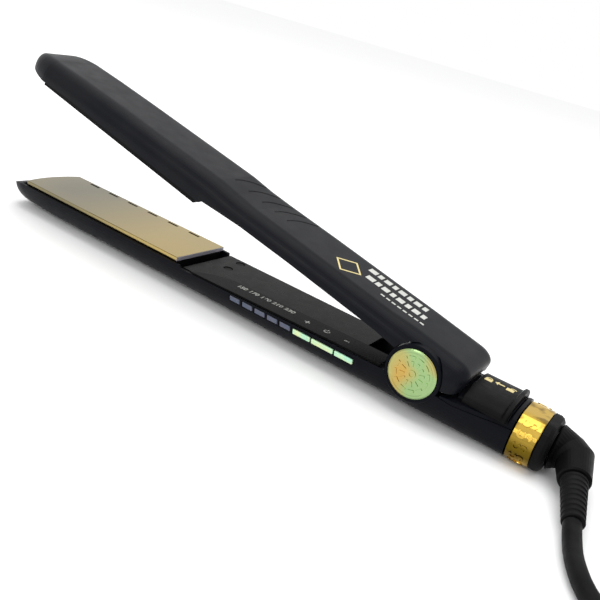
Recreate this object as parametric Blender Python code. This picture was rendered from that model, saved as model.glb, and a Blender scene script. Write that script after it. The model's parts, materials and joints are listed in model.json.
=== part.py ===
"""Hair straightening iron: two hinged arms with gold plates, a lock slider and a swivel cord.

Lengths are in millimetres and become metres when a mesh is made. +Z is up, the cord leaves
towards +X, and the hinge axis runs along Y above the origin. The upper arm is modelled closed,
under an empty that holds it open. The side with the buttons faces -Y and is called near.
"""
import bpy
import bmesh
from math import asin, ceil, cos, pi, radians, sin, sqrt
from mathutils import Matrix, Vector

MM = 0.001
GAP = 0.3                       # between neighbouring pieces
WALL = 1.6                      # of both housings
HALF_WIDTH = 21.3               # of the arms
LOWER_CORNER = 18.0             # radius under the lower arm
HINGE_HEIGHT = 21.0
OPEN_ANGLE = radians(12.66)
PLATE_LEVEL = 18.0              # top of the lower plate
PLATE_THICKNESS = 2.3           # of the lower plate
UPPER_PLATE_THICKNESS = 1.0
PLATE_FRONT = -256.7
PLATE_BOW = 2.7                 # how far the plate's front corners stand back
PLATE_REAR = -136.2
PLATE_HALF = 19.25
EARS = ((-1, "near", 13.0, 11.16), (1, "far", 10.0, 8.2))    # side, word, ear and cap radius
EAR_INSIDE = 18.3
EAR_OUTSIDE = 21.6
PIN_RADIUS = 3.0
BUTTON_HEIGHT = (10.8, 13.6)    # lower and upper edge of the windows and buttons
SWITCH_FACE = -17.6
RING_FRONT = 45.2
RING_REAR = 55.7
NECK_HALF = 16.0
NECK_CORNER = 11.0
SLIDER_TOP = 23.1
CORD_RADIUS = 3.5
SWIVEL_TILT = radians(9.0)      # of the elbow below the level
ELBOW_BEND = radians(75.0)
ELBOW_LENGTHS = (8.4, 16.0)     # from its start to the corner and on to its tip
ELBOW_START = 61.5
ARC_STEPS = 14

# Lower arm: x, half width, corner radius, lift of the bottom, top of the near and the far wall.
# LOWER_NOSE, UPPER_NOSE and HEEL hold how much each value changes on the way round to an end.
LOWER_STATIONS = (
    (-256.0, 21.3, 18.0, 0.8, 15.5, 15.5),
    (-235.0, 21.3, 18.0, 0.0, 15.5, 15.5),
    (-133.0, 21.3, 18.0, 0.0, 15.5, 15.5),
    (-132.0, 21.3, 18.0, 0.0, 14.2, 12.7),
    (-109.0, 21.3, 18.0, 0.0, 14.5, 12.7),
    (-93.0, 21.3, 18.0, 0.0, 14.9, 12.7),
    (-29.0, 21.3, 18.0, 0.0, 16.2, 12.7),
    (-20.0, 21.3, 18.0, 0.0, 16.4, 14.5),
    (-13.0, 21.3, 18.0, 0.0, 16.6, 16.6),
    (13.0, 21.3, 18.0, 0.0, 16.6, 16.6),
    (20.0, 20.6, 17.0, 0.0, 15.6, 15.6),
    (30.0, 18.4, 14.4, 0.0, 15.6, 15.6),
    (38.0, 16.6, 12.0, 0.0, 15.6, 15.6),
    (44.9, 16.0, 11.0, 0.0, 15.6, 15.6),
)
LOWER_NOSE = (-12.5, -6.6, -8.0, 3.6, -4.4, -4.4)
# Upper arm, closed: x, half width, lower edge, top, corner radius.
UPPER_STATIONS = (
    (-255.0, 21.3, 20.9, 32.1, 9.2),
    (-235.0, 21.3, 21.7, 33.0, 9.5),
    (-208.0, 21.3, 21.7, 33.7, 9.5),
    (-157.0, 21.3, 21.7, 34.6, 9.5),
    (-132.0, 21.3, 21.7, 35.0, 9.5),
    (-130.6, 21.3, 23.2, 35.0, 9.5),
    (-118.0, 21.3, 24.3, 34.3, 9.5),
    (-105.0, 21.3, 25.3, 34.0, 8.6),
    (-90.0, 21.3, 25.6, 34.3, 8.6),
    (-75.0, 21.3, 26.0, 34.5, 8.4),
    (-24.0, 21.3, 26.3, 35.0, 8.4),
    (-12.0, 21.3, 25.6, 35.4, 9.2),
    (12.0, 21.3, 22.5, 35.4, 9.5),
)
UPPER_NOSE = (-18.5, -10.0, 1.8, -4.4, -5.0)
HEEL = (8.0, -6.4, 4.0, -4.4, -6.8)
LOWER_NOSE_BOW = 1.6            # how far the sides of a nose stand back behind its middle
UPPER_NOSE_BOW = 5.0
BOW_START = -250.0              # the standing back sets in here and is full after BOW_RUN
BOW_RUN = 12.0
# Strip with the markings: x, inner edge in Y, top.
STRIP_STATIONS = (
    (-125.0, -20.2, 15.5),
    (-116.0, -12.0, 15.6),
    (-108.0, -8.6, 15.8),
    (-93.0, -8.0, 16.2),
    (-35.0, -8.0, 17.4),
    (-15.0, -8.0, 17.7),
)
WINDOW_PLACES = (-96.0, -88.2, -80.6, -73.1, -65.6)
WINDOW_LENGTH = 6.2
BUTTONS = (("button_plus", -60.8, -50.8), ("button_power", -50.3, -38.1), ("button_minus", -37.6, -27.6))
SLOT_FIRST = -236.9
SLOT_PITCH = 16.16
SLOT_COUNT = 6
SLOT_HALF_LENGTH = 3.7
SLOT_SIDES = (15.7, 17.3)
COIL_MIDDLE = (160.0, -36.0)
COIL_RADIUS = 38.5              # of the middle of the turns
COIL_HALF_WIDTH = 10.5
COIL_LEVELS = (1.1, 29.1)       # its bottom and top
TIE_WALL = 0.7
TIE_HALF_WIDTH = 4.0
# Cord from the strain relief to the coil, then from the coil to the plug.
CORD_ROUTE = (
    (80.12, -38.79, 4.85),
    (82.7, -48.4, 3.85),
    (86.0, -58.2, 3.6),
    (92.5, -70.0, 3.6),
    (102.5, -78.8, 3.6),
    (116.0, -83.8, 3.6),
    (128.0, -85.2, 3.6),
    (140.2, -85.2, 3.6),
)
TAIL_ROUTE = (
    (211.2, -22.3, 17.4),
    (204.1, -5.1, 13.0),
    (192.4, 10.3, 9.7),
    (175.3, 21.2, 8.9),
    (160.0, 24.0, 8.9),
    (150.0, 24.0, 8.9),
)
PLUG_END = 149.2                # where the cord enters the plug
PLUG_PLACE = (24.0, 8.9)        # its middle in Y and Z


def clear_scene():
    for item in list(bpy.data.objects):
        bpy.data.objects.remove(item)


def make_look(name, colour, roughness, metallic=0.0):
    """A material with one colour for each kind of surface."""
    look = bpy.data.materials.new(name)
    look.use_nodes = True
    shader = look.node_tree.nodes["Principled BSDF"]
    shader.inputs["Base Color"].default_value = (*colour, 1.0)
    shader.inputs["Roughness"].default_value = roughness
    shader.inputs["Metallic"].default_value = metallic
    return look


class Pivot:
    """An empty on a joint's axis, and the joint's place while the arms are closed."""

    def __init__(self, name, place, parent=None, turn=0.0):
        self.place = Vector(place)
        self.empty = bpy.data.objects.new(name, None)
        bpy.context.collection.objects.link(self.empty)
        start = parent.place if parent else Vector()
        self.empty.location = (self.place - start) * MM
        self.empty.rotation_euler.y = turn
        if parent:
            self.empty.parent = parent.empty


def make(name, shape, look, pivot=None, smooth=True):
    """Turns a bmesh in millimetres into an object, placed on its pivot if it has one."""
    bmesh.ops.recalc_face_normals(shape, faces=shape.faces)
    if pivot:
        bmesh.ops.translate(shape, verts=shape.verts, vec=-pivot.place)
    bmesh.ops.scale(shape, verts=shape.verts, vec=(MM, MM, MM))
    mesh = bpy.data.meshes.new(name)
    shape.to_mesh(mesh)
    shape.free()
    if smooth:
        mesh.shade_smooth()
        mesh.set_sharp_from_angle(angle=radians(32))
    piece = bpy.data.objects.new(name, mesh)
    bpy.context.collection.objects.link(piece)
    if pivot:
        piece.parent = pivot.empty
    if look:
        mesh.materials.append(look)
    return piece


def combine(piece, name, shape, operation, pivot=None):
    """Cuts a shape out of a piece or adds it, with an exact Boolean."""
    other = make(name, shape, None, pivot, smooth=False)
    other.hide_render = True
    other.display_type = 'WIRE'
    step = piece.modifiers.new(name, 'BOOLEAN')
    step.operation = operation
    step.solver = 'EXACT'
    step.object = other


def soften(piece, width, segments=2):
    step = piece.modifiers.new("rounded edges", 'BEVEL')
    step.width = width * MM
    step.segments = segments
    step.limit_method = 'ANGLE'
    step.angle_limit = radians(40)
    return piece


def spaced(start, end, steps):
    return [start + (end - start) * i / steps for i in range(steps + 1)]


def add_loft(shape, rings, around=False):
    """Joins rings of points; the ends get caps unless the last ring meets the first."""
    rows = [[shape.verts.new(point) for point in ring] for ring in rings]
    following = rows[1:] + rows[:1] if around else rows[1:]
    for row, after in zip(rows, following):
        for i in range(len(row)):
            shape.faces.new((row[i - 1], row[i], after[i], after[i - 1]))
    if not around:
        shape.faces.new(rows[0])
        shape.faces.new(rows[-1][::-1])


def loft(rings, around=False):
    shape = bmesh.new()
    add_loft(shape, rings, around)
    return shape


def add_box(shape, low, high):
    low, high = Vector(low), Vector(high)
    size = Matrix.Diagonal((*(high - low), 1.0))
    bmesh.ops.create_cube(shape, size=1.0, matrix=Matrix.Translation((low + high) / 2) @ size)


def box(low, high):
    shape = bmesh.new()
    add_box(shape, low, high)
    return shape


def add_turned(shape, profile, place, axis, around=False, steps=40):
    """Turns a profile of (radius, distance along the axis) pairs about an axis through a place."""
    axis = Vector(axis)
    side = Vector((axis.y, axis.z, axis.x))
    other = axis.cross(side)
    turns = [2 * pi * i / steps for i in range(steps)]
    rings = []
    for radius, along in profile:
        middle = Vector(place) + axis * along
        rings.append([middle + (side * cos(a) + other * sin(a)) * radius for a in turns])
    add_loft(shape, rings, around)


def turned(profile, place, axis, around=False, steps=40):
    shape = bmesh.new()
    add_turned(shape, profile, place, axis, around, steps)
    return shape


def prism(outline, low, high):
    """A flat shape in X and Y between two levels."""
    return loft([[Vector((x, y, z)) for x, y in outline] for z in (low, high)])


def hose(path, radii, reference, sides=20):
    """A round bar along a path; the reference is a direction that the path never takes."""
    rings = []
    for i, middle in enumerate(path):
        before = path[max(i - 1, 0)]
        after = path[min(i + 1, len(path) - 1)]
        across = (after - before).cross(reference).normalized()
        other = (after - before).cross(across).normalized()
        turns = [2 * pi * k / sides for k in range(sides)]
        rings.append([middle + (across * cos(a) + other * sin(a)) * radii[i] for a in turns])
    return loft(rings)


def smooth_route(points, spacing):
    """Points about a spacing apart on a smooth curve through the given points."""
    points = [Vector(point) for point in points]
    ends = [points[0] * 2 - points[1]] + points + [points[-1] * 2 - points[-2]]
    route = [points[0]]
    for a, b, c, d in zip(ends, ends[1:], ends[2:], ends[3:]):
        steps = ceil((c - b).length / spacing)
        for t in spaced(0.0, 1.0, steps)[1:]:
            bend = (2 * a - 5 * b + 4 * c - d) * t * t + (3 * b - a - 3 * c + d) * t ** 3
            route.append((2 * b + (c - a) * t + bend) / 2)
    return route


def tube(name, points, radius, look, pivot=None, sides_level=2):
    """A round cord or lead as a curve with a bevel and filled caps."""
    start = pivot.place if pivot else Vector()
    curve = bpy.data.curves.new(name, 'CURVE')
    curve.dimensions = '3D'
    curve.bevel_depth = radius * MM
    curve.bevel_resolution = sides_level
    curve.use_fill_caps = True
    route = smooth_route(points, 5.5 * radius)
    spline = curve.splines.new('POLY')
    spline.points.add(len(route) - 1)
    for target, point in zip(spline.points, route):
        target.co = (*((point - start) * MM), 1.0)
    curve.materials.append(look)
    piece = bpy.data.objects.new(name, curve)
    bpy.context.collection.objects.link(piece)
    if pivot:
        piece.parent = pivot.empty


def flank_y(z):
    """The near outer face of the lower arm's flank."""
    return LOWER_CORNER - HALF_WIDTH - sqrt(LOWER_CORNER ** 2 - (LOWER_CORNER - z) ** 2)


def nose_bow(x, bow):
    """How far a section's sides stand back, fading out behind the nose."""
    return bow * max(0.0, min(1.0, (BOW_START - x) / BOW_RUN))


def rounded_end(station, change, steps=10):
    """Sections that carry a station on round an end, up to the given change of each value."""
    ending = []
    for a in spaced(0, pi / 2, steps)[1:]:
        shares = [sin(a)] + [1 - cos(a)] * (len(station) - 1)
        ending.append(tuple(value + whole * share for value, whole, share in zip(station, change, shares)))
    return ending


def lower_ring(station, inset=0.0, height=None):
    """A section of the lower arm; with a height, its sides go straight up to that level."""
    x, half, corner, lift, near_top, far_top = station
    half, corner, lift = half - inset, corner - inset, lift + inset
    points = []
    for side, top in ((-1, near_top), (1, far_top)):
        start = asin(min(1.0, (top - lift - corner) / corner))
        arc = [(side * (half - corner + corner * cos(a)), lift + corner + corner * sin(a))
               for a in spaced(start, -pi / 2, ARC_STEPS)]
        if height:
            arc.insert(0, (arc[0][0], height))
        points += arc if side < 0 else arc[::-1]
    return [Vector((x + nose_bow(x, LOWER_NOSE_BOW) * (y / HALF_WIDTH) ** 2, y, z)) for y, z in points]


def upper_ring(station, inset=0.0, drop=0.0):
    """A section of the upper arm; a drop lowers its open edge."""
    x, half, low, top, corner = station
    half, top, corner = half - inset, top - inset, max(corner - inset, 0.5)
    points = [(-half, low - drop)]
    for side, turns in ((-1, spaced(pi, pi / 2, ARC_STEPS)), (1, spaced(pi / 2, 0, ARC_STEPS))):
        points += [(side * (half - corner) + corner * cos(a), top - corner + corner * sin(a)) for a in turns]
    points.append((half, low - drop))
    return [Vector((x + nose_bow(x, UPPER_NOSE_BOW) * (y / HALF_WIDTH) ** 2, y, z)) for y, z in points]


def between(stations, x):
    """A station at x, read off the straight line between its neighbours."""
    for before, after in zip(stations, stations[1:]):
        if before[0] <= x <= after[0]:
            part = (x - before[0]) / (after[0] - before[0])
            return tuple(a + (b - a) * part for a, b in zip(before, after))
    return stations[-1]


def part_of(stations, start, end):
    inside = [station for station in stations if start < station[0] < end]
    return [between(stations, start), *inside, between(stations, end)]


def hinge_profile(inside, hole, recess):
    """A stepped hole through an ear: pin hole, then the recess of the cap."""
    return ((hole, inside), (hole, EAR_OUTSIDE - 1.1), (recess, EAR_OUTSIDE - 1.1), (recess, EAR_OUTSIDE + 1))


def lower_housing(look):
    stations = rounded_end(LOWER_STATIONS[0], LOWER_NOSE)[::-1] + list(LOWER_STATIONS)
    piece = make("lower_housing", loft([lower_ring(s) for s in stations]), look)
    hollow = loft([lower_ring(s, WALL, 40.0) for s in part_of(stations, -258.6, 43.2)])
    combine(piece, "lower_housing_hollow", hollow, 'DIFFERENCE')
    ears = bmesh.new()
    holes = bmesh.new()
    for side, _, radius, cap in EARS:
        place = (0, 0, HINGE_HEIGHT)
        ear = ((radius, EAR_INSIDE), (radius, EAR_OUTSIDE - 0.4), (radius - 0.4, EAR_OUTSIDE))
        add_turned(ears, ear, place, (0, side, 0), steps=56)
        add_turned(holes, hinge_profile(EAR_INSIDE - 1, PIN_RADIUS + GAP, cap + GAP), place, (0, side, 0), steps=56)
    low, high = BUTTON_HEIGHT
    for x in WINDOW_PLACES:
        half = WINDOW_LENGTH / 2 + GAP
        add_box(holes, (x - half, -25, low - GAP), (x + half, -14, high + GAP))
    for _, start, end in BUTTONS:
        add_box(holes, (start - GAP / 2, -25, low - GAP), (end + GAP / 2, -14, high + GAP))
    combine(piece, "lower_housing_ears", ears, 'UNION')
    combine(piece, "lower_housing_holes", holes, 'DIFFERENCE')


def upper_housing(look, arm):
    nose = rounded_end(UPPER_STATIONS[0], UPPER_NOSE)[::-1]
    stations = nose + list(UPPER_STATIONS) + rounded_end(UPPER_STATIONS[-1], HEEL)
    piece = make("upper_housing", loft([upper_ring(s) for s in stations]), look, arm)
    hollow = loft([upper_ring(s, WALL, 10.0) for s in part_of(stations, -262.0, 12.0)])
    combine(piece, "upper_housing_hollow", hollow, 'DIFFERENCE', arm)
    relief = bmesh.new()
    for side, _, radius, _ in EARS:
        add_turned(relief, ((radius + 0.4, EAR_INSIDE - 0.4), (radius + 0.4, EAR_OUTSIDE + 4)),
                   (0, 0, HINGE_HEIGHT), (0, side, 0), steps=56)
    combine(piece, "upper_housing_relief", relief, 'DIFFERENCE', arm)
    passage = loft([arch_ring(x, 17.4, SLIDER_TOP + 0.6, 10.0) for x in (15.2, 48.0)])
    combine(piece, "upper_housing_passage", passage, 'DIFFERENCE')


def arch_ring(x, half, top, low, power=2.6, steps=36):
    """A closed section under a flattened arch that stands on the slider's skirt level."""
    base = 17.7
    points = [Vector((x, -half, low))]
    for a in spaced(pi, 0, steps):
        flat_y = abs(cos(a)) ** (2 / power) * (1 if a < pi / 2 else -1)
        points.append(Vector((x, half * flat_y, base + (top - base) * sin(a) ** (2 / power))))
    points.append(Vector((x, half, low)))
    return points


def plan_outline(front, bow, rear, half, steps=10):
    """A plate's outline from above, with a bowed front edge."""
    edge = [(front + bow * (y / half) ** 2, y) for y in spaced(half, -half, steps)]
    return edge + [(rear, -half), (rear, half)]


def plate_units(looks, floating):
    """Plates, carriers and heaters; the upper set floats on its springs."""
    low_face = PLATE_LEVEL - PLATE_THICKNESS
    low_plate = prism(plan_outline(PLATE_FRONT, PLATE_BOW, PLATE_REAR, PLATE_HALF), low_face, PLATE_LEVEL)
    plate = soften(make("lower_plate", low_plate, looks["plate"]), 0.35)
    slots = bmesh.new()
    for i in range(SLOT_COUNT):
        x = SLOT_FIRST + SLOT_PITCH * i
        add_box(slots, (x - SLOT_HALF_LENGTH, SLOT_SIDES[0], 10), (x + SLOT_HALF_LENGTH, SLOT_SIDES[1], 20))
    combine(plate, "lower_plate_slots", slots, 'DIFFERENCE')
    plate_backing("lower", None, looks, low_face, -1)
    high_level = PLATE_LEVEL + GAP
    high_face = high_level + UPPER_PLATE_THICKNESS
    front, half = PLATE_FRONT - 1.4, PLATE_HALF - 0.25
    outline = plan_outline(front + 1.2, PLATE_BOW, PLATE_REAR - 1.2, half - 1.2)
    soften(make("upper_plate", prism(outline, high_level, high_face), looks["plate"], floating), 0.2, 1)
    carrier = plate_backing("upper", floating, looks, high_face, 1)
    rim = plan_outline(front, PLATE_BOW + 0.8, PLATE_REAR, half)
    combine(carrier, "upper_carrier_rim", prism(rim, high_level + 0.25, high_face + 2.2), 'UNION', floating)
    pocket = plan_outline(front + 1.2 - GAP, PLATE_BOW, PLATE_REAR - 1.2 + GAP, half - 1.2 + GAP)
    combine(carrier, "upper_carrier_pocket", prism(pocket, high_level - 1.0, high_face + GAP), 'DIFFERENCE', floating)
    window = box((-246.0, -11.0, high_face), (-150.0, 11.0, high_face + 3.0))
    combine(carrier, "upper_rim_window", window, 'DIFFERENCE', floating)


def plate_backing(name, pivot, looks, face, way):
    """The carrier, heater and temperature sensor behind one plate's inner face."""
    low, high = sorted((face + way * GAP, face + way * 4.4))
    carrier = make(name + "_plate_carrier", prism(plan_outline(-254.5, 2.4, -136.6, 17.4), low, high),
                   looks["dark"], pivot)
    window = box((-246.0, -11.0, low - 1), (-150.0, 11.0, high + 1))
    combine(carrier, name + "_carrier_window", window, 'DIFFERENCE', pivot)
    low, high = sorted((face + way * GAP, face + way * 2.6))
    make(name + "_heater", box((-245.0, -10.2, low), (-160.0, 10.2, high)), looks["ceramic"], pivot)
    make(name + "_sensor", box((-158.0, -2.5, low), (-152.0, 2.5, high)), looks["brass"], pivot)
    return carrier


def float_springs(look, arm):
    """Two coil springs between the upper housing and the floating carrier."""
    for number, x in enumerate((-251.0, -143.0), 1):
        top = between(UPPER_STATIONS, x)[3] - WALL - GAP
        turns = spaced(0, 2 * pi * 3, 42)
        start = PLATE_LEVEL + 9.0
        path = [Vector((x + 2.6 * cos(a), 2.6 * sin(a), start + (top - 0.6 - start) * a / (6 * pi))) for a in turns]
        make("float_spring_%d" % number, hose(path, [0.4] * len(path), Vector((0, 0, 1)), 6), look, arm)


def panels(looks, arm):
    """The inside covers behind the plates and the strip with the markings."""
    strip = [[Vector((x, y, z)) for y, z in ((-20.9, top - 1.0), (-21.1, top), (inner, top), (inner, top - 1.0))]
             for x, inner, top in STRIP_STATIONS]
    soften(make("control_strip", loft(strip), looks["gloss"]), 0.15, 1)
    edge = [(x, inner + GAP) for x, inner, _ in part_of(STRIP_STATIONS, -125.0, -30.0)]
    outline = [(-131.4, 20.3), (-131.4, -18.8), (-126.0, -18.8)] + edge[1:] + [(-30.0, 20.3)]
    panel = make("lower_inner_panel", prism(outline, 13.0, 14.6), looks["gloss"])
    cover = []
    for station in part_of(UPPER_STATIONS, -129.4, -17.0):
        low = station[2] + 0.5
        cover.append([Vector((station[0], y, z)) for y, z in
                      ((-19.3, low), (19.3, low), (19.3, low + 1.6), (-19.3, low + 1.6))])
    lid = make("upper_inner_cover", loft(cover), looks["gloss"], arm)
    for side, piece, pivot, low, high in (("lower", panel, None, 13.0, 14.6), ("upper", lid, arm, 23.4, 26.2)):
        holes = bmesh.new()
        for number, (x, y) in enumerate(((-120.0, 4.0), (-121.0, 16.0)), 1):
            add_turned(holes, ((2.6, low - 2), (2.6, high + 2)), (x, y, 0), (0, 0, 1), steps=20)
            panel_screw("%s_panel_screw_%d" % (side, number), x, y, side, looks["dark"], pivot)
        combine(piece, side + "_panel_holes", holes, 'DIFFERENCE', pivot)


def panel_screw(name, x, y, side, look, pivot):
    """A countersunk screw whose head sits just inside its panel."""
    head, way = (14.3, -1) if side == "lower" else (24.7, 1)
    profile = ((2.2, head), (2.2, head + way * 0.6), (1.2, head + way * 1.7), (1.2, head + way * 4.0))
    make(name, turned(profile, (x, y, 0), (0, 0, 1), steps=20), look, pivot)


def controls(looks):
    """The circuit board with its switches and lamps, and the windows and buttons in the flank."""
    low, high = BUTTON_HEIGHT
    make("circuit_board", box((-104.0, -14.6, 6.4), (-22.0, -13.0, 12.6)), looks["board"], smooth=False)
    for number, x in enumerate(WINDOW_PLACES, 1):
        half = WINDOW_LENGTH / 2
        section = ((flank_y(low), low), (flank_y(high), high), (-16.7, high), (-16.7, low))
        rings = [[Vector((end, y, z)) for y, z in section] for end in (x - half, x + half)]
        soften(make("lamp_window_%d" % number, loft(rings), looks["window"]), 0.3, 1)
    for name, start, end in BUTTONS:
        middle = (start + end) / 2
        pivot = Pivot(name + "_travel", (middle, flank_y(12.2), 12.2))
        section = ((flank_y(low) - 0.5, low), (flank_y(high) - 0.5, high),
                   (SWITCH_FACE - 0.9, high), (SWITCH_FACE - 0.9, low))
        rings = [[Vector((x, y, z)) for y, z in section] for x in (start + GAP / 2, end - GAP / 2)]
        soften(make(name, loft(rings), looks["button"], pivot), 0.4)
        make(name.replace("button", "switch"), box((middle - 2.2, SWITCH_FACE, 10.7), (middle + 2.2, -14.9, 12.5)),
             looks["steel"], smooth=False)


def hinge(looks, arm):
    """The pin with its bushes, frame, opening spring and the two gold caps."""
    place = (0, 0, HINGE_HEIGHT)
    make("hinge_pin", turned(((PIN_RADIUS, -20.2), (PIN_RADIUS, 20.2)), place, (0, 1, 0)), looks["steel"])
    for side, word, _, cap in EARS:
        dish = ((cap, EAR_OUTSIDE - 0.8), (cap, EAR_OUTSIDE + 0.1), (cap - 0.6, EAR_OUTSIDE + 0.5),
                (cap - 1.3, EAR_OUTSIDE + 0.5), (cap - 1.8, EAR_OUTSIDE + 0.3))
        make("pivot_cap_" + word, turned(dish, place, (0, side, 0), steps=56), looks["gold"])
        bush = ((PIN_RADIUS + GAP, 14.4), (4.6, 14.4), (4.6, 17.4), (PIN_RADIUS + GAP, 17.4))
        make("hinge_bush_" + word, turned(bush, place, (0, side, 0), around=True), looks["brass"], arm)
    rings = []
    for y, top in ((-17.6, 29.4), (-14.8, 31.6), (14.8, 31.6), (17.6, 29.4)):
        outline = [(9.0 * cos(a), HINGE_HEIGHT + 9.0 * sin(a)) for a in spaced(pi, 2 * pi, 14)]
        rings.append([Vector((x, y, z)) for x, z in outline + [(9.0, top), (-9.0, top)]])
    frame = make("hinge_frame", loft(rings), looks["dark"], arm)
    inside = box((-12.0, -14.2, 5.0), (12.0, 14.2, 29.4))
    combine(frame, "hinge_frame_inside", inside, 'DIFFERENCE', arm)
    bores = bmesh.new()
    for side in (-1, 1):
        add_turned(bores, ((4.9, 13.0), (4.9, 19.0)), place, (0, side, 0))
    for x in (-6.0, 6.0):
        add_turned(bores, ((1.5, 29.0), (1.5, 33.5)), (x, 0, 0), (0, 0, 1), steps=16)
    combine(frame, "hinge_frame_bores", bores, 'DIFFERENCE', arm)
    for number, x in enumerate((-6.0, 6.0), 1):
        screw = ((2.4, 27.8), (2.4, 29.1), (1.2, 29.1), (1.2, 32.4))
        make("frame_screw_%d" % number, turned(screw, (x, 0, 0), (0, 0, 1), steps=20), looks["steel"], arm)
    spring(looks["steel"])


def spring(look):
    """The torsion spring around the pin, with a leg to each arm."""
    radius, half, wire, leg = 5.0, 8.0, 0.7, 13.0
    coils = 5.5
    path = [Vector((-leg, -half, HINGE_HEIGHT + radius))]
    for part in spaced(0.0, 1.0, 77):
        a = pi / 2 - 2 * pi * coils * part
        path.append(Vector((radius * cos(a), half * (2 * part - 1), HINGE_HEIGHT + radius * sin(a))))
    path.append(Vector((-leg, half, HINGE_HEIGHT - radius)))
    make("opening_spring", hose(path, [wire] * len(path), Vector((0, 1, 0)), 8), look)


def stadium_ring(x, inset, steps=22):
    """The neck's section: flat top and bottom, half-round sides."""
    radius = NECK_CORNER - inset
    straight = NECK_HALF - NECK_CORNER
    points = []
    for side, start in ((1, -pi / 2), (-1, pi / 2)):
        points += [Vector((x, side * straight + radius * cos(a), NECK_CORNER + radius * sin(a)))
                   for a in spaced(start, start + pi, steps)]
    return points


def neck(looks, slide):
    """The cover behind the hinge with its hump, the lock slider, the trim ring and the end cap."""
    base = 15.9
    ledge = []
    for x in (14.0, 20.0, 30.0, 38.0, 44.9):
        _, half, corner, _, _, _ = between(LOWER_STATIONS, x)
        edge = half - corner + sqrt(corner ** 2 - (base - corner) ** 2)
        low = base + 0.9 if x < 15 else base
        ledge.append([Vector((x, y, z)) for y, z in ((-edge, low), (-edge + 0.5, 17.4), (edge - 0.5, 17.4), (edge, low))])
    cover = make("neck_cover", loft(ledge), looks["shell"])
    hump = loft([arch_ring(x, 15.2, SLIDER_TOP - 2.0, 16.5) for x in (20.0, 42.4)])
    combine(cover, "neck_cover_hump", hump, 'UNION')
    lip = loft([arch_ring(x, 14.6, top, 16.5) for x, top in ((42.7, 21.4), (43.3, 22.0), (44.9, 22.0))])
    combine(cover, "neck_cover_lip", lip, 'UNION')
    rings = []
    for x, spread, rise in ((22.0, -0.5, -0.5), (22.5, 0.0, 0.0), (39.4, 0.0, 0.0), (40.4, 0.7, 1.6),
                            (41.6, 0.7, 1.6), (42.0, 0.4, 1.2)):
        outside = arch_ring(x, 17.0 + spread, SLIDER_TOP + rise, 17.7)[1:-1]
        inside = arch_ring(x, 15.5, SLIDER_TOP - 1.7, 17.7)[1:-1]
        rings.append(outside + inside[::-1])
    make("lock_slider", loft(rings), looks["dark"], slide)
    ring = [stadium_ring(RING_FRONT, 0.4), stadium_ring(RING_FRONT + 0.4, 0.0), stadium_ring(RING_REAR - 0.4, 0.0),
            stadium_ring(RING_REAR, 0.4), stadium_ring(RING_REAR, 1.4), stadium_ring(RING_FRONT, 1.4)]
    make("trim_ring", loft(ring, around=True), looks["gold"])
    steps = ((RING_FRONT, 1.7), (RING_REAR + GAP, 1.7), (RING_REAR + GAP, 0.2), (58.4, 0.2), (59.8, 0.8), (60.8, 2.2))
    cap = make("end_cap", loft([stadium_ring(x, inset) for x, inset in steps]), looks["dark"])
    bore = ((7.8, 44.0), (7.8, 57.5), (4.9, 57.5), (4.9, 62.0))
    combine(cap, "end_cap_bore", turned(bore, (0, 0, NECK_CORNER), (1, 0, 0)), 'DIFFERENCE')


def bend_direction(angle):
    """The elbow's direction after turning through an angle towards the near side."""
    return Vector((cos(angle), -sin(angle) * cos(SWIVEL_TILT), -sin(angle) * sin(SWIVEL_TILT)))


def swivel(looks, turn):
    """The elbow on its shaft, the collar that keeps it in, and the strain relief."""
    ahead = Vector((1, 0, 0))
    along = bend_direction(ELBOW_BEND)
    side = Vector((0, sin(SWIVEL_TILT), -cos(SWIVEL_TILT)))
    start = Vector((ELBOW_START, 0, NECK_CORNER))
    corner = start + ahead * ELBOW_LENGTHS[0]
    tip = corner + along * ELBOW_LENGTHS[1]
    rings = [ring_across(start + ahead * x, ahead, side, radius)
             for x, radius in ((-10.0, 4.6), (-0.4, 4.6), (-0.4, 9.6), (0.2, 10.2))]
    outward = (ahead - along).normalized()
    rings.append(mitre_ring(corner, ahead, side, outward, 7.9, -5.2))
    rings.append(mitre_ring(corner, along, side, outward, 7.6, 5.2))
    rings += [ring_across(tip + along * x, along, side, radius) for x, radius in ((-0.6, 6.6), (0.0, 6.0))]
    make("cord_elbow", loft(rings), looks["dark"], turn)
    collar = ((4.9, 51.8), (7.0, 51.8), (7.0, 53.6), (4.9, 53.6))
    make("swivel_collar", turned(collar, (0, 0, NECK_CORNER), ahead, around=True), looks["steel"], turn)
    relief = []
    for i in range(9):
        for offset, rise in ((0.0, 0.0), (0.3, 0.45), (1.5, 0.45), (1.8, 0.0)):
            relief.append(ring_across(tip + along * (GAP + i * 2.7 + offset), along, side, 4.9 - 0.12 * i + rise))
    make("strain_relief", loft(relief), looks["rubber"], turn)


def ring_across(middle, along, side, radius, steps=36):
    """A circle across a direction, started from a side direction."""
    other = along.cross(side)
    turns = [2 * pi * i / steps for i in range(steps)]
    return [middle + (side * cos(a) + other * sin(a)) * radius for a in turns]


def mitre_ring(corner, way, side, outward, radius, ease):
    """A bar's section in the mitre plane at its corner, eased along the bar on the outside."""
    across = outward.cross(way).cross(outward).normalized()
    ring = []
    for point in ring_across(corner, way, side, radius):
        outside = (point - corner).dot(outward) / radius
        onto_plane = (point - corner).dot(across) / way.dot(across)
        ring.append(point + way * (ease * (0.52 + 0.44 * outside) - onto_plane))
    return ring


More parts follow.
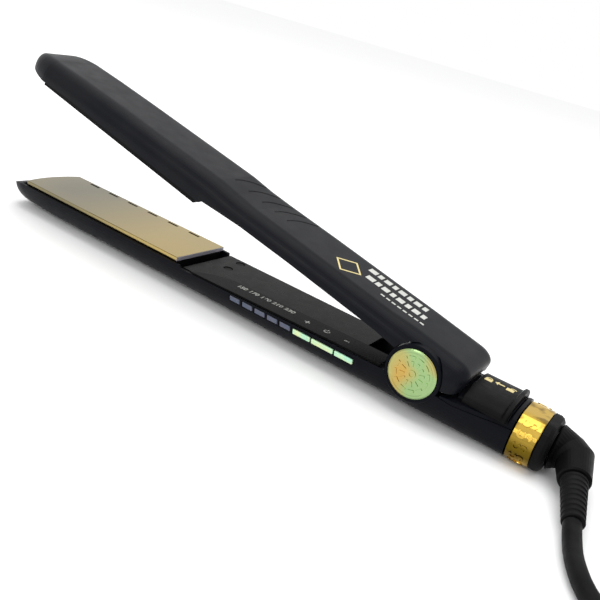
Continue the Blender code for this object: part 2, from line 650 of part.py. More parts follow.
def cord(looks):
    """The free cord, its coil with a tie, and the plug."""
    tube("power_cord", CORD_ROUTE, CORD_RADIUS, looks["rubber"])
    tube("cord_tail", TAIL_ROUTE, CORD_RADIUS, looks["rubber"])
    low, high = COIL_LEVELS
    inner, outer = COIL_RADIUS - COIL_HALF_WIDTH, COIL_RADIUS + COIL_HALF_WIDTH
    section = ((inner, low + 3), (inner + 3, low), (outer - 3, low), (outer, low + 3),
               (outer, high - 3), (outer - 3, high), (inner + 3, high), (inner, high - 3))
    make("cord_coil", turned(section, (*COIL_MIDDLE, 0), (0, 0, 1), around=True, steps=48), looks["rubber"])
    rings = []
    middle = Vector((*COIL_MIDDLE, 0))
    for slack, way in ((1.0, 1), (1.0 - TIE_WALL, -1)):
        corners = ((inner - slack, low - slack), (outer + slack, low - slack),
                   (outer + slack, high + slack), (inner - slack, high + slack))
        for y in (-way * TIE_HALF_WIDTH, way * TIE_HALF_WIDTH):
            rings.append([middle + Vector((-along, y, z)) for along, z in corners])
    soften(make("cord_tie", loft(rings, around=True), looks["dark"]), 0.2, 1)
    plug(looks)


def plug(looks):
    middle_y, middle_z = PLUG_PLACE
    rings = []
    for along, half_y, half_z in ((0.0, 4.6, 4.6), (-6.0, 5.6, 5.2), (-12.0, 10.5, 7.4), (-17.0, 12.8, 8.3),
                                  (-28.0, 13.0, 8.5), (-29.0, 12.2, 7.7)):
        turns = [2 * pi * i / 28 for i in range(28)]
        rings.append([Vector((PLUG_END + along, middle_y + half_y * rounded(cos(a)), middle_z + half_z * rounded(sin(a))))
                      for a in turns])
    make("plug_body", loft(rings), looks["rubber"])
    face = PLUG_END - 29.0 - GAP
    for number, (side, half) in enumerate(((-1, 3.2), (1, 3.9)), 1):
        y = middle_y + side * 6.35
        blade = box((face - 17.0, y - 0.75, middle_z - half), (face, y + 0.75, middle_z + half))
        soften(make("plug_blade_%d" % number, blade, looks["brass"]), 0.3, 1)


def rounded(value, power=3.0):
    """Keeps the sign and fills out the corners of an oval."""
    return abs(value) ** (2 / power) * (1 if value > 0 else -1)


def leads(looks, arm):
    """Wires: mains to the board, board to the lower heater, and the upper heater's own."""
    tube("mains_lead_live", ((40.0, 4.0, 9.0), (20.0, 8.0, 7.0), (-10.0, 3.0, 6.0), (-21.0, -9.0, 8.5)),
         1.1, looks["lead"])
    tube("mains_lead_neutral", ((40.0, -4.0, 9.0), (20.0, -1.0, 7.0), (0.0, -6.0, 6.0), (-21.0, -12.6, 9.5)),
         1.1, looks["lead"])
    tube("lower_heater_lead", ((-105.0, -12.0, 8.0), (-120.0, -5.0, 7.0), (-140.0, 2.0, 8.2), (-154.0, 6.0, 8.8),
                               (-164.0, 6.0, 11.2)), 1.0, looks["lead"])
    tube("upper_heater_lead", ((-14.0, 8.0, 30.5), (-60.0, 5.0, 30.5), (-120.0, 4.0, 30.5), (-155.0, 4.0, 29.0)),
         1.0, looks["lead"], arm)


def build():
    clear_scene()
    looks = {
        "shell": make_look("satin_black_shell", (0.020, 0.021, 0.026), 0.38),
        "gloss": make_look("gloss_black_panel", (0.022, 0.022, 0.023), 0.25),
        "dark": make_look("matte_black_plastic", (0.017, 0.017, 0.018), 0.5),
        "rubber": make_look("black_rubber", (0.015, 0.015, 0.015), 0.65),
        "plate": make_look("gold_plate", (0.80, 0.62, 0.30), 0.25, 1.0),
        "gold": make_look("polished_gold", (0.86, 0.62, 0.18), 0.15, 1.0),
        "button": make_look("mint_button", (0.45, 0.80, 0.55), 0.35),
        "window": make_look("lamp_window", (0.20, 0.22, 0.32), 0.2),
        "steel": make_look("plain_steel", (0.60, 0.60, 0.58), 0.35, 1.0),
        "brass": make_look("brass", (0.75, 0.58, 0.30), 0.3, 1.0),
        "ceramic": make_look("white_ceramic", (0.85, 0.83, 0.78), 0.5),
        "board": make_look("green_board", (0.04, 0.22, 0.10), 0.45),
        "lead": make_look("white_lead", (0.75, 0.74, 0.70), 0.5),
    }
    arm = Pivot("upper_arm_pivot", (0, 0, HINGE_HEIGHT), turn=OPEN_ANGLE)
    floating = Pivot("upper_plate_travel", (-196.0, 0, PLATE_LEVEL), parent=arm)
    slide = Pivot("lock_slider_travel", (31.0, 0, 22.0))
    turn = Pivot("cord_swivel_axis", (ELBOW_START, 0, NECK_CORNER))
    lower_housing(looks["shell"])
    upper_housing(looks["shell"], arm)
    plate_units(looks, floating)
    float_springs(looks["steel"], arm)
    panels(looks, arm)
    controls(looks)
    hinge(looks, arm)
    neck(looks, slide)
    swivel(looks, turn)
    cord(looks)
    leads(looks, arm)


build()
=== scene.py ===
"""Looks of the hair straightening iron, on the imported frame. Metres; the near side faces -Y."""
import bpy
import bmesh
import json
from math import ceil, cos, pi, radians, sin
from mathutils import Matrix, Vector


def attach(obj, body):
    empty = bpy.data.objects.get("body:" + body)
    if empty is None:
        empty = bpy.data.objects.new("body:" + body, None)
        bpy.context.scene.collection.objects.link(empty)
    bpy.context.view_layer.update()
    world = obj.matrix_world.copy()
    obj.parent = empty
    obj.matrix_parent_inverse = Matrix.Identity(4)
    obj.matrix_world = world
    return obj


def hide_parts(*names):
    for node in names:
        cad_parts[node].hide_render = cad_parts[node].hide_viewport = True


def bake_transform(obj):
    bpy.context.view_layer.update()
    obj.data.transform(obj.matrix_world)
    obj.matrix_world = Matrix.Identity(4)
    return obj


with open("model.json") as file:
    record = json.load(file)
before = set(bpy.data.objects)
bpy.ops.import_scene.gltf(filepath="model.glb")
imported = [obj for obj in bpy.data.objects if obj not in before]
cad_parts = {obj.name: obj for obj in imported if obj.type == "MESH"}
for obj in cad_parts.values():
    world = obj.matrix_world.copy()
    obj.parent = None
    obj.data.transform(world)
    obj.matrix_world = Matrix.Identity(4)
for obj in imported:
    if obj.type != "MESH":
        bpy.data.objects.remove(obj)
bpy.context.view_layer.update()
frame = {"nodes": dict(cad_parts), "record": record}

MM = 0.001
OPEN_ANGLE = radians(12.66)
HINGE = Vector((0.0, 0.0, 21.0))
CORD_DIAMETER = 0.007

# ---------------------------------------------------------------- camera, light and floor


def add_camera():
    data = bpy.data.cameras.new("camera")
    data.lens = 43.02
    data.sensor_width = 36.0
    data.clip_start = 0.01
    camera = bpy.data.objects.new("camera", data)
    bpy.context.scene.collection.objects.link(camera)
    right = Vector((0.80813, 0.53483, 0.24673))
    up = Vector((-0.40413, 0.19875, 0.89285))
    back = right.cross(up)
    axes = Matrix((right, up, back)).transposed().to_4x4()
    camera.matrix_world = Matrix.Translation((0.07883, -0.28896, 0.15123)) @ axes
    bpy.context.scene.camera = camera


def add_area_light(name, place, aim, size, power):
    data = bpy.data.lights.new(name, 'AREA')
    data.shape = 'RECTANGLE'
    data.size, data.size_y = size
    data.energy = power
    light = bpy.data.objects.new(name, data)
    bpy.context.scene.collection.objects.link(light)
    light.location = place
    light.rotation_euler = (Vector(aim) - Vector(place)).to_track_quat('-Z', 'Y').to_euler()


def add_studio():
    world = bpy.data.worlds.new("studio")
    world.use_nodes = True
    background = world.node_tree.nodes["Background"]
    background.inputs["Color"].default_value = (1.0, 1.0, 1.0, 1.0)
    background.inputs["Strength"].default_value = 1.0
    bpy.context.scene.world = world
    bpy.context.scene.view_settings.view_transform = 'Standard'
    shape = bmesh.new()
    bmesh.ops.create_grid(shape, x_segments=4, y_segments=4, size=4.0)
    mesh = bpy.data.meshes.new("floor")
    shape.to_mesh(mesh)
    shape.free()
    floor_piece = bpy.data.objects.new("floor", mesh)
    bpy.context.scene.collection.objects.link(floor_piece)
    floor_piece.location.z = -0.0002
    pale = Look("pale_floor", (0.95, 0.95, 0.95), 0.9)
    pale.set("Specular IOR Level", 0.0)
    pale.vary_colour(3.0, (0.945, 0.945, 0.95))
    floor_piece.data.materials.append(pale.done)
    add_area_light("top_light", (-0.1, 0.1, 1.4), (-0.1, 0.0, 0.0), (1.6, 1.2), 11.0)
    add_area_light("near_light", (-0.5, -1.3, 0.9), (-0.1, 0.0, 0.05), (0.8, 0.5), 4.0)


# ---------------------------------------------------------------- materials


class Look:
    """A procedural material: a Principled shader with noise in its colour, roughness and bump."""

    def __init__(self, name, colour, roughness, metallic=0.0):
        self.done = bpy.data.materials.new(name)
        self.done.use_nodes = True
        self.tree = self.done.node_tree
        self.shader = self.tree.nodes["Principled BSDF"]
        self.colour = colour
        self.roughness = roughness
        self.set("Base Color", (*colour, 1.0))
        self.set("Roughness", roughness)
        self.set("Metallic", metallic)
        self.height = None
        self.place = self.node("ShaderNodeTexCoord").outputs["Object"]

    def node(self, kind, **values):
        made = self.tree.nodes.new(kind)
        for key, value in values.items():
            setattr(made, key, value)
        return made

    def set(self, socket, value):
        self.shader.inputs[socket].default_value = value

    def link(self, start, end):
        self.tree.links.new(start, end)

    def noise(self, scale, detail=3.0, stretch=(1.0, 1.0, 1.0)):
        mapping = self.node("ShaderNodeMapping")
        mapping.inputs["Scale"].default_value = stretch
        self.link(self.place, mapping.inputs["Vector"])
        texture = self.node("ShaderNodeTexNoise")
        texture.inputs["Scale"].default_value = scale
        texture.inputs["Detail"].default_value = detail
        self.link(mapping.outputs["Vector"], texture.inputs["Vector"])
        return texture.outputs["Fac"]

    def spread(self, factor, low, high, start=0.3, end=0.7):
        """Maps a factor to the range from low to high."""
        ranged = self.node("ShaderNodeMapRange")
        ranged.inputs["From Min"].default_value = start
        ranged.inputs["From Max"].default_value = end
        ranged.inputs["To Min"].default_value = low
        ranged.inputs["To Max"].default_value = high
        self.link(factor, ranged.inputs["Value"])
        return ranged.outputs["Result"]

    def mix(self, factor, first, second):
        blend = self.node("ShaderNodeMix", data_type='RGBA')
        for socket, value in (("A", first), ("B", second)):
            target = [item for item in blend.inputs if item.name == socket and item.type == 'RGBA'][0]
            if isinstance(value, tuple):
                target.default_value = (*value, 1.0)
            else:
                self.link(value, target)
        self.link(factor, blend.inputs["Factor"])
        return [item for item in blend.outputs if item.type == 'RGBA'][0]

    def vary_colour(self, scale, other):
        """Clouds of another colour in the base colour."""
        share = self.spread(self.noise(scale), 0.0, 1.0, 0.35, 0.65)
        self.link(self.mix(share, self.colour, other), self.shader.inputs["Base Color"])

    def vary_roughness(self, scale, amount, stretch=(1.0, 1.0, 1.0)):
        wear = self.spread(self.noise(scale, 4.0, stretch), self.roughness - amount, self.roughness + amount)
        self.link(wear, self.shader.inputs["Roughness"])

    def grain(self, scale, height, stretch=(1.0, 1.0, 1.0)):
        """Fine bumps of a height in metres."""
        bump = self.node("ShaderNodeBump")
        bump.inputs["Strength"].default_value = 1.0
        bump.inputs["Distance"].default_value = height
        self.link(self.noise(scale, 2.0, stretch), bump.inputs["Height"])
        if self.height:
            self.link(self.height, bump.inputs["Normal"])
        self.height = bump.outputs["Normal"]
        self.link(self.height, self.shader.inputs["Normal"])


def satin_shell(name, specular):
    look = Look(name, (0.0022, 0.0027, 0.0050), 0.36)
    look.set("Specular IOR Level", specular)
    look.vary_colour(40.0, (0.0045, 0.0048, 0.0068))
    look.vary_roughness(120.0, 0.04)
    look.grain(2600.0, 0.000012)
    return look.done


def gloss_panel():
    look = Look("gloss_panel", (0.004, 0.004, 0.0036), 0.3)
    look.set("Specular IOR Level", 0.055)
    look.vary_colour(60.0, (0.007, 0.007, 0.006))
    look.vary_roughness(220.0, 0.05)
    look.grain(1800.0, 0.000008)
    return look.done


def dark_strip():
    look = Look("dark_strip", (0.0015, 0.0015, 0.0015), 0.25)
    look.set("Specular IOR Level", 0.03)
    look.vary_colour(60.0, (0.0025, 0.0025, 0.0025))
    look.vary_roughness(220.0, 0.04)
    look.grain(1500.0, 0.000005)
    return look.done


def matte_black():
    look = Look("matte_black", (0.0030, 0.0030, 0.0032), 0.42)
    look.set("Specular IOR Level", 0.055)
    look.vary_colour(70.0, (0.005, 0.005, 0.005))
    look.vary_roughness(300.0, 0.07)
    look.grain(3200.0, 0.00002)
    return look.done


def black_rubber():
    look = Look("black_rubber", (0.0035, 0.0035, 0.004), 0.55)
    look.set("Specular IOR Level", 0.09)
    look.vary_colour(90.0, (0.007, 0.007, 0.0075))
    look.vary_roughness(260.0, 0.08)
    look.grain(2400.0, 0.00003)
    return look.done


def gold_plate():
    """Gold with a painted reflection: dark grey gold near the tip that brightens to warm gold towards the hinge,
    faint lengthwise polishing lines, and a painted highlight in a lilac-grey strip at the rear end.
    """
    look = Look("gold_plate", (0.50, 0.38, 0.17), 0.12, 1.0)
    parts = look.node("ShaderNodeSeparateXYZ")
    look.link(look.place, parts.inputs["Vector"])
    # Painted reflection: a colour ramp along the plate, dark grey gold towards the tip and bright gold towards
    # the hinge.
    along = look.spread(parts.outputs["X"], 0.0, 1.0, -0.215, -0.165)
    base = look.mix(along, (0.150, 0.135, 0.085), (0.46, 0.34, 0.12))
    cloud = look.spread(look.noise(14.0, 1.0), 0.0, 0.35, 0.42, 0.58)
    gold = look.mix(cloud, base, (0.34, 0.28, 0.14))
    # Painted highlight: a light lilac-grey, non-metal strip over the plate's rear end.
    painted_highlight_strip = look.spread(parts.outputs["X"], 0.0, 1.0, -0.1365, -0.1363)
    look.link(look.mix(painted_highlight_strip, gold, (0.30, 0.29, 0.33)), look.shader.inputs["Base Color"])
    look.link(look.spread(painted_highlight_strip, 1.0, 0.0, 0.0, 1.0), look.shader.inputs["Metallic"])
    look.vary_roughness(60.0, 0.04, (0.2, 3.0, 1.0))
    look.grain(900.0, 0.000003, (0.05, 1.0, 1.0))
    return look.done


def polished_gold():
    """The trim ring: gold with a broad dark brown band of painted shade round its lower half."""
    look = Look("polished_gold", (0.62, 0.41, 0.07), 0.2, 1.0)
    parts = look.node("ShaderNodeSeparateXYZ")
    look.link(look.place, parts.inputs["Vector"])
    # Painted shade: a dark brown band low on the ring, standing in for the shade on its rounded flank.
    painted_shade_share = look.node("ShaderNodeMath", operation='MULTIPLY')
    look.link(look.spread(parts.outputs["Z"], 0.0, 1.0, 0.004, 0.007), painted_shade_share.inputs[0])
    look.link(look.spread(parts.outputs["Z"], 1.0, 0.0, 0.011, 0.018), painted_shade_share.inputs[1])
    cloud = look.spread(look.noise(110.0), 0.0, 0.8, 0.46, 0.56)
    clouded = look.mix(cloud, look.colour, (0.20, 0.12, 0.015))
    painted_shade_gold = look.mix(painted_shade_share.outputs["Value"], clouded, (0.13, 0.085, 0.008))
    look.link(painted_shade_gold, look.shader.inputs["Base Color"])
    look.vary_roughness(200.0, 0.05)
    look.grain(700.0, 0.00001)
    return look.done


def pearl_gold():
    """The pivot caps: gold that runs into mint and orange."""
    look = Look("pearl_gold", (0.80, 0.62, 0.20), 0.2, 1.0)
    share = look.spread(look.noise(55.0, 1.0), 0.0, 1.0, 0.40, 0.60)
    hue = look.mix(share, (0.50, 0.33, 0.09), (0.29, 0.43, 0.19))
    look.link(hue, look.shader.inputs["Base Color"])
    look.vary_roughness(200.0, 0.05)
    look.grain(900.0, 0.00001)
    return look.done


def pearl_button():
    look = Look("pearl_button", (0.38, 0.78, 0.56), 0.28)
    look.vary_colour(160.0, (0.72, 0.80, 0.40))
    look.vary_roughness(300.0, 0.06)
    look.set("Coat Weight", 0.4)
    return look.done


def smoke_window():
    look = Look("smoke_window", (0.105, 0.100, 0.140), 0.25)
    look.vary_colour(120.0, (0.065, 0.085, 0.135))
    look.vary_roughness(300.0, 0.05)
    look.set("Specular IOR Level", 0.4)
    return look.done


def pale_print(name, colour):
    """Printed marks."""
    look = Look(name, colour, 0.5)
    look.vary_colour(500.0, tuple(0.85 * value for value in colour))
    look.vary_roughness(400.0, 0.05)
    return look.done


def plain_metal(name, colour, roughness):
    look = Look(name, colour, roughness, 1.0)
    look.vary_colour(150.0, tuple(0.8 * value for value in colour))
    look.vary_roughness(400.0, 0.08)
    look.grain(1500.0, 0.00001)
    return look.done


def plain_material(name, colour, roughness):
    look = Look(name, colour, roughness)
    look.vary_colour(150.0, tuple(0.85 * value for value in colour))
    look.vary_roughness(400.0, 0.08)
    look.grain(1500.0, 0.00002)
    return look.done


def paint_nodes(looks):
    """Gives each CAD node the procedural material of its slot in the record, with a few finer choices."""
    finer = {"control_strip": "strip", "pivot_cap_near": "pearl", "pivot_cap_far": "pearl",
             "lower_housing": "low_shell", "neck_cover": "low_shell"}
    for part in frame["record"]["subparts"]:
        node = frame["nodes"][part["node"]]
        node.data.materials.clear()
        node.data.materials.append(looks[finer.get(part["node"], part["material_slot"])])


# ---------------------------------------------------------------- shapes


def make(name, shape, look, body, smooth_angle=32):
    """A piece from a bmesh in metres, riding on a body."""
    bmesh.ops.recalc_face_normals(shape, faces=shape.faces)
    mesh = bpy.data.meshes.new(name)
    shape.to_mesh(mesh)
    shape.free()
    mesh.shade_smooth()
    mesh.set_sharp_from_angle(angle=radians(smooth_angle))
    mesh.materials.append(look)
    piece = bpy.data.objects.new(name, mesh)
    bpy.context.scene.collection.objects.link(piece)
    if body:
        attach(piece, body)
    return piece


def spaced(start, end, steps):
    return [start + (end - start) * i / steps for i in range(steps + 1)]


def smooth_route(points, spacing):
    """Points about a spacing apart on a smooth curve through the given points."""
    points = [Vector(point) for point in points]
    ends = [points[0] * 2 - points[1]] + points + [points[-1] * 2 - points[-2]]
    route = [points[0]]
    for a, b, c, d in zip(ends, ends[1:], ends[2:], ends[3:]):
        steps = ceil((c - b).length / spacing)
        for t in spaced(0.0, 1.0, steps)[1:]:
            bend = (2 * a - 5 * b + 4 * c - d) * t * t + (3 * b - a - 3 * c + d) * t ** 3
            route.append((2 * b + (c - a) * t + bend) / 2)
    return route


def join_rows(shape, rows, following):
    """Faces between each ring of vertices and the one that follows it."""
    for row, after in zip(rows, following):
        for k in range(len(row)):
            shape.faces.new((row[k - 1], row[k], after[k], after[k - 1]))


def tube_mesh(path, radius, sides=12):
    """A round tube with caps; its sections keep from twisting along the path."""
    shape = bmesh.new()
    rows = []
    side = None
    for i, middle in enumerate(path):
        along = (path[min(i + 1, len(path) - 1)] - path[max(i - 1, 0)]).normalized()
        if side is None:
            side = along.orthogonal()
        side = (side - along * side.dot(along)).normalized()
        other = along.cross(side)
        rows.append([shape.verts.new(middle + (side * cos(a) + other * sin(a)) * radius)
                     for a in (2 * pi * k / sides for k in range(sides))])
    join_rows(shape, rows, rows[1:])
    shape.faces.new(rows[0][::-1])
    shape.faces.new(rows[-1])
    return shape


# ---------------------------------------------------------------- printed and raised marks


class Sheet:
    """A flat drawing plane in front of a CAD node; shapes drawn on it are pressed onto the node."""

    reach = 6.0 * MM            # how far in front of the plane the pressing starts

    def __init__(self, node, place, right, up):
        self.node = frame["nodes"][node]
        self.place = Vector(place) * MM
        self.right = Vector(right).normalized()
        self.up = Vector(up).normalized()
        self.ahead = self.right.cross(self.up)

    def press(self, point):
        """From drawing coordinates in millimetres, the third being the height above the node."""
        start = self.place + (self.right * point[0] + self.up * point[1]) * MM + self.ahead * self.reach
        back = self.node.matrix_world.inverted()
        hit, where, _, _ = self.node.ray_cast(back @ start, back.to_3x3() @ -self.ahead)
        ground = self.node.matrix_world @ where if hit else start - self.ahead * self.reach
        return ground + self.ahead * point[2] * MM


def opened(point):
    """From the closed arm's place to where the open arm holds it."""
    return HINGE + Matrix.Rotation(OPEN_ANGLE, 3, 'Y') @ (Vector(point) - HINGE)


def add_prism(shape, outline, height):
    """A thin closed plate over an outline, from just under the surface to a height above it."""
    low, high = [[shape.verts.new((x, y, z)) for x, y in outline] for z in (-0.08, height)]
    shape.faces.new(low[::-1])
    shape.faces.new(high)
    for i in range(len(outline)):
        shape.faces.new((low[i - 1], low[i], high[i], high[i - 1]))


def bar(x, y, width, height):
    """A rectangle about a middle."""
    return [(x + i * width / 2, y + k * height / 2) for i, k in ((-1, -1), (1, -1), (1, 1), (-1, 1))]


def band(x, y, radius, width, start, end, steps=14):
    """Part of a ring, angles in turns."""
    turns = [2 * pi * value for value in spaced(start, end, steps)]
    outer = [(x + (radius + width / 2) * cos(a), y + (radius + width / 2) * sin(a)) for a in turns]
    inner = [(x + (radius - width / 2) * cos(a), y + (radius - width / 2) * sin(a)) for a in turns]
    return outer + inner[::-1]


def add_mark(name, sheet, outlines, look, body, height=0.05):
    """Presses thin plates over the outlines onto a CAD node."""
    shape = bmesh.new()
    for outline in outlines:
        add_prism(shape, outline, height)
    press_mark(name, sheet, shape, look, body)


def press_mark(name, sheet, shape, look, body):
    for vert in shape.verts:
        vert.co = sheet.press(vert.co)
    make(name, shape, look, body)


def add_number(name, text, size, sheet, look, body):
    """A number as thin raised type."""
    curve = bpy.data.curves.new(name + "_type", 'FONT')
    curve.body = text
    curve.size = size
    curve.align_x = 'CENTER'
    curve.align_y = 'CENTER'
    curve.extrude = 0.06
    curve.offset = 0.12
    carrier = bpy.data.objects.new(name + "_type", curve)
    bpy.context.scene.collection.objects.link(carrier)
    mesh = carrier.to_mesh(depsgraph=bpy.context.evaluated_depsgraph_get())
    shape = bmesh.new()
    shape.from_mesh(mesh)
    carrier.to_mesh_clear()
    bpy.data.objects.remove(carrier)
    bpy.data.curves.remove(curve)
    bmesh.ops.remove_doubles(shape, verts=shape.verts, dist=0.001)
    press_mark(name, sheet, shape, look, body)


def add_strip_marks(look):
    """Heat numbers over the lamps and the signs over the buttons."""
    flat = ((1, 0, 0), (0, 1, 0))
    first_x, pitch = -98.4, 7.24
    for number in range(5):
        text = str(150 + 20 * number)
        sheet = Sheet("control_strip", (first_x + pitch * number, -11.9, 16), *flat)
        add_number("heat_number_" + text, text, 3.9, sheet, look, "lower_arm")
    signs = (
        ("plus_sign", -57.4, [bar(0, 0, 2.8, 0.7), bar(0, 0.95, 0.7, 1.2), bar(0, -0.95, 0.7, 1.2)]),
        ("power_sign", -46.5, [band(0, 0, 1.3, 0.5, 0.36, 1.14), bar(0, 1.3, 0.5, 1.5)]),
        ("minus_sign", -35.6, [bar(0, 0, 2.6, 0.7)]),
    )
    for name, x, outlines in signs:
        add_mark(name, Sheet("control_strip", (x, -14.6, 16), *flat), outlines, look, "lower_arm")


def add_slider_marks(look):
    """A closed lock, an arrow and an open lock on top of the slider."""
    marks = (
        ("closed_lock", 25.6, [bar(0, -1.1, 3.4, 3.0), band(0, 0.5, 1.15, 0.6, 0.0, 0.5)]),
        ("lock_arrow", 30.6, [bar(0.8, 0, 2.8, 1.2), [(-2.3, 0), (-0.6, -2.0), (-0.6, 2.0)]]),
        ("open_lock", 35.6, [bar(0, -1.1, 3.4, 3.0), band(1.1, 0.5, 1.15, 0.6, 0.02, 0.5)]),
    )
    for name, x, outlines in marks:
        sheet = Sheet("lock_slider", (x, 5.2, 22), (1, 0, 0), (0, 1, 0))
        add_mark(name, sheet, outlines, look, "slider")


def arm_sheet(x, y):
    """A drawing plane on top of the open upper arm."""
    ahead = Matrix.Rotation(OPEN_ANGLE, 3, 'Y') @ Vector((1, 0, 0))
    return Sheet("upper_housing", opened((x, y, 34.0)), ahead, (0, 1, 0))


def add_arm_marks(pale, gold):
    """Plain dashes and a diamond where such irons carry print."""
    dashes = ((0.0, 4.4), (5.4, 2.6), (9.2, 3.6), (14.0, 2.4), (17.6, 3.8), (22.6, 2.6), (26.4, 3.6), (31.2, 2.4))
    for row, (y, start) in enumerate(((8.6, -49.0), (0.4, -46.0)), 1):
        outlines = [bar(start + x + width / 2, y, width, 4.2) for x, width in dashes]
        add_mark("arm_dashes_%d" % row, arm_sheet(0, 0), outlines, pale, "upper_arm")
    small = [bar(-33.0 + 3.1 * i, -6.4, 2.1, 1.2) for i in range(8)]
    add_mark("arm_small_dashes", arm_sheet(0, 0), small, pale, "upper_arm")
    corners = ((-7.5, 0.0), (0.0, -8.6), (7.5, 0.0), (0.0, 8.6))
    inner = 0.84                # of the diamond's line, as a share of its outside
    for i, (start, end) in enumerate(zip(corners, corners[1:] + corners[:1])):
        outline = [start, end, (inner * end[0], inner * end[1]), (inner * start[0], inner * start[1])]
        add_mark("arm_diamond_%d" % (i + 1), arm_sheet(-55.0, -3.0), [outline], gold, "upper_arm")


def add_grip_ridges(look):
    """Five thin curved lines across the far half of the upper arm."""
    for number, x in enumerate((-129.0, -119.5, -110.0, -101.5, -93.5), 1):
        path = [(8.5 * ((y + 3.0) / 16.0) ** 2, y) for y in spaced(-3.0, 13.0, 12)]
        outline = [(along - 0.25, y) for along, y in path] + [(along + 0.25, y) for along, y in path[::-1]]
        add_mark("grip_line_%d" % number, arm_sheet(x, 0), [outline], look, "upper_arm", 0.12)


def add_cap_reliefs(look):
    """A raised rosette on each pivot cap."""
    for word, side, scale in (("near", -1, 1.0), ("far", 1, 0.7)):
        outlines = [band(0, 0, 1.5 * scale, 0.8 * scale, 0.0, 0.999)]
        for i in range(12):
            outlines.append(band(0, 0, 7.6 * scale, 1.1 * scale, i / 12 + 0.012, i / 12 + 0.071, 4))
            outlines.append(band(0, 0, 4.6 * scale, 2.4 * scale, i / 12 + 0.02, i / 12 + 0.055, 3))
        sheet = Sheet("pivot_cap_" + word, (0, side * 22.5, 21.0), (-side, 0, 0), (0, 0, 1))
        add_mark("cap_relief_" + word, sheet, outlines, look, "lower_arm", 0.3)


def add_ring_relief(look):
    """Raised curls around the trim ring's two rounded sides."""
    for word, side in (("near", -1), ("far", 1)):
        for step in range(5):
            turn = radians(-56.0 + 28.0 * step)
            out = Vector((0, side * cos(turn), sin(turn)))
            middle = Vector((50.45, side * 5.0, 11.0)) + out * 11.5
            outlines = [band(0, 1.5, 1.5, 0.9, 0.1, 0.9, 10), band(0, -1.6, 1.2, 0.8, -0.45, 0.35, 10)]
            sheet = Sheet("trim_ring", middle, out.cross(Vector((1, 0, 0))), (-1, 0, 0))
            add_mark("ring_curl_%s_%d" % (word, step + 1), sheet, outlines, look, "lower_arm", 0.4)


# ---------------------------------------------------------------- cord

CORD_ROUTE = (
    (80.12, -38.79, 4.85),
    (82.7, -48.4, 3.85),
    (86.0, -58.2, 3.6),
    (92.5, -70.0, 3.6),
    (102.5, -78.8, 3.6),
    (116.0, -83.8, 3.6),
    (128.0, -85.2, 3.6),
    (140.2, -85.2, 3.6),
)
COIL_MIDDLE = Vector((160.0, -36.0, 0.0))
COIL_RADIUS = 38.5
COIL_BASE = 4.7
LANE_PITCH = 7.05
FULL_TURNS = 10
TURN_STEPS = 24
TAIL_RADIUS = 53.0              # of the last half turn, from the coil's middle
TAIL_SPREAD = 7.0               # how much wider it ends, where it meets the plug
PLUG_ENTRY = Vector((149.6, 24.0, 8.9))
TIE_HALF_WIDTH = 4.0


def eased(value, start, end):
    """From 0 to 1 between two values, with a soft start and end."""
    part = max(0.0, min(1.0, (value - start) / (end - start)))
    return part * part * (3 - 2 * part)


def lane_places(number):
    """Radius and level of a turn: three lanes a diameter apart, in layers; the last ends outside."""
    if number == FULL_TURNS:
        return COIL_RADIUS + LANE_PITCH, lane_places(number - 1)[1]
    layer, lane = divmod(number, 3)
    order = (1, 0, -1) if layer % 2 == 0 else (-1, 0, 1)
    return COIL_RADIUS + order[lane] * LANE_PITCH, COIL_BASE + layer * LANE_PITCH


def coil_points():
    """The turns of the coil, then its last half turn, which comes down outside the others."""
    points = []
    for i in range(TURN_STEPS * FULL_TURNS):
        number, part = i // TURN_STEPS, (i % TURN_STEPS) / TURN_STEPS
        near, base = lane_places(number)
        after, level = lane_places(number + 1)
        radius = near + (after - near) * eased(part, 0.45, 1.0)
        height = base + (level - base) * eased(part, 0.45, 1.0)
        points.append((2 * pi * part - pi / 2, radius, height))
    last_radius, last_level = lane_places(FULL_TURNS)
    for degrees in range(-90, 91, 10):
        radius = last_radius + (TAIL_RADIUS - last_radius) * eased(degrees, -90, -20)
        radius += TAIL_SPREAD * eased(degrees, 20, 90)
        height = last_level + (PLUG_ENTRY.z - last_level) * eased(degrees, -40, 70)
        points.append((radians(degrees), radius, height))
    return [COIL_MIDDLE + Vector((radius * cos(a), radius * sin(a), height)) for a, radius, height in points]


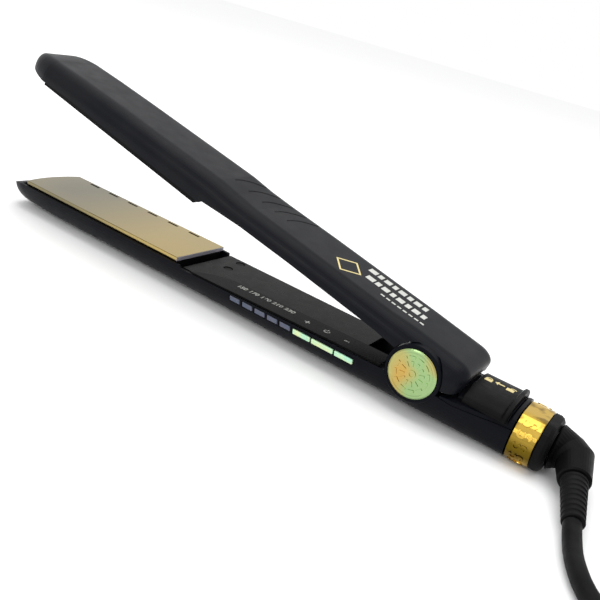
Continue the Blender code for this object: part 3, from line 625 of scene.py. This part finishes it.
def add_tie(coil, look):
    """A band pulled tight round the turns where they pass nearest the iron, three quarters through each."""
    bundle = coil[TURN_STEPS * 3 // 4:TURN_STEPS * FULL_TURNS:TURN_STEPS]
    rings = []
    for offset, way in ((3.6, 1), (4.5, -1)):
        ring = []
        for a in spaced(0.0, 2 * pi, 48)[1:]:
            outward = Vector((cos(a), 0.0, sin(a)))
            ring.append(max(bundle, key=outward.dot) + outward * offset)
        for y in (way * TIE_HALF_WIDTH, -way * TIE_HALF_WIDTH):
            rings.append([(point + Vector((0.0, y, 0.0))) * MM for point in ring])
    shape = bmesh.new()
    rows = [[shape.verts.new(point) for point in ring] for ring in rings]
    join_rows(shape, rows, rows[1:] + rows[:1])
    piece = make("tie_band", shape, look, "lower_arm", 60)
    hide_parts("cord_tie")
    return piece


def add_cord(look, tie_look):
    coil = coil_points()
    tie = add_tie(coil, tie_look)
    route = smooth_route([*CORD_ROUTE, *coil[:2]], 6.0)
    points = [point * MM for point in route + coil[2:] + [PLUG_ENTRY]]
    piece = make("free_cord", tube_mesh(points, CORD_DIAMETER / 2), look, None)
    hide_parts("power_cord", "cord_coil", "cord_tail")
    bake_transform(piece)


add_camera()
add_studio()
looks = {
    "shell": satin_shell("satin_shell", 0.10),
    "low_shell": satin_shell("satin_shell_low", 0.05),
    "gloss": gloss_panel(),
    "strip": dark_strip(),
    "dark": matte_black(),
    "rubber": black_rubber(),
    "plate": gold_plate(),
    "gold": polished_gold(),
    "pearl": pearl_gold(),
    "button": pearl_button(),
    "window": smoke_window(),
    "steel": plain_metal("plain_steel", (0.60, 0.60, 0.58), 0.32),
    "brass": plain_metal("plain_brass", (0.75, 0.58, 0.30), 0.28),
    "ceramic": plain_material("white_ceramic", (0.82, 0.80, 0.75), 0.5),
    "board": plain_material("green_board", (0.04, 0.20, 0.09), 0.4),
    "lead": plain_material("silicone_lead", (0.72, 0.71, 0.66), 0.5),
}
paint_nodes(looks)
pale_look = pale_print("pale_print", (0.55, 0.56, 0.52))
gold_look = pale_print("gold_print", (0.70, 0.58, 0.26))
add_strip_marks(pale_look)
add_slider_marks(gold_look)
add_arm_marks(pale_look, gold_look)
add_grip_ridges(looks["dark"])
add_cap_reliefs(looks["pearl"])
add_ring_relief(looks["gold"])
add_cord(looks["rubber"], looks["dark"])
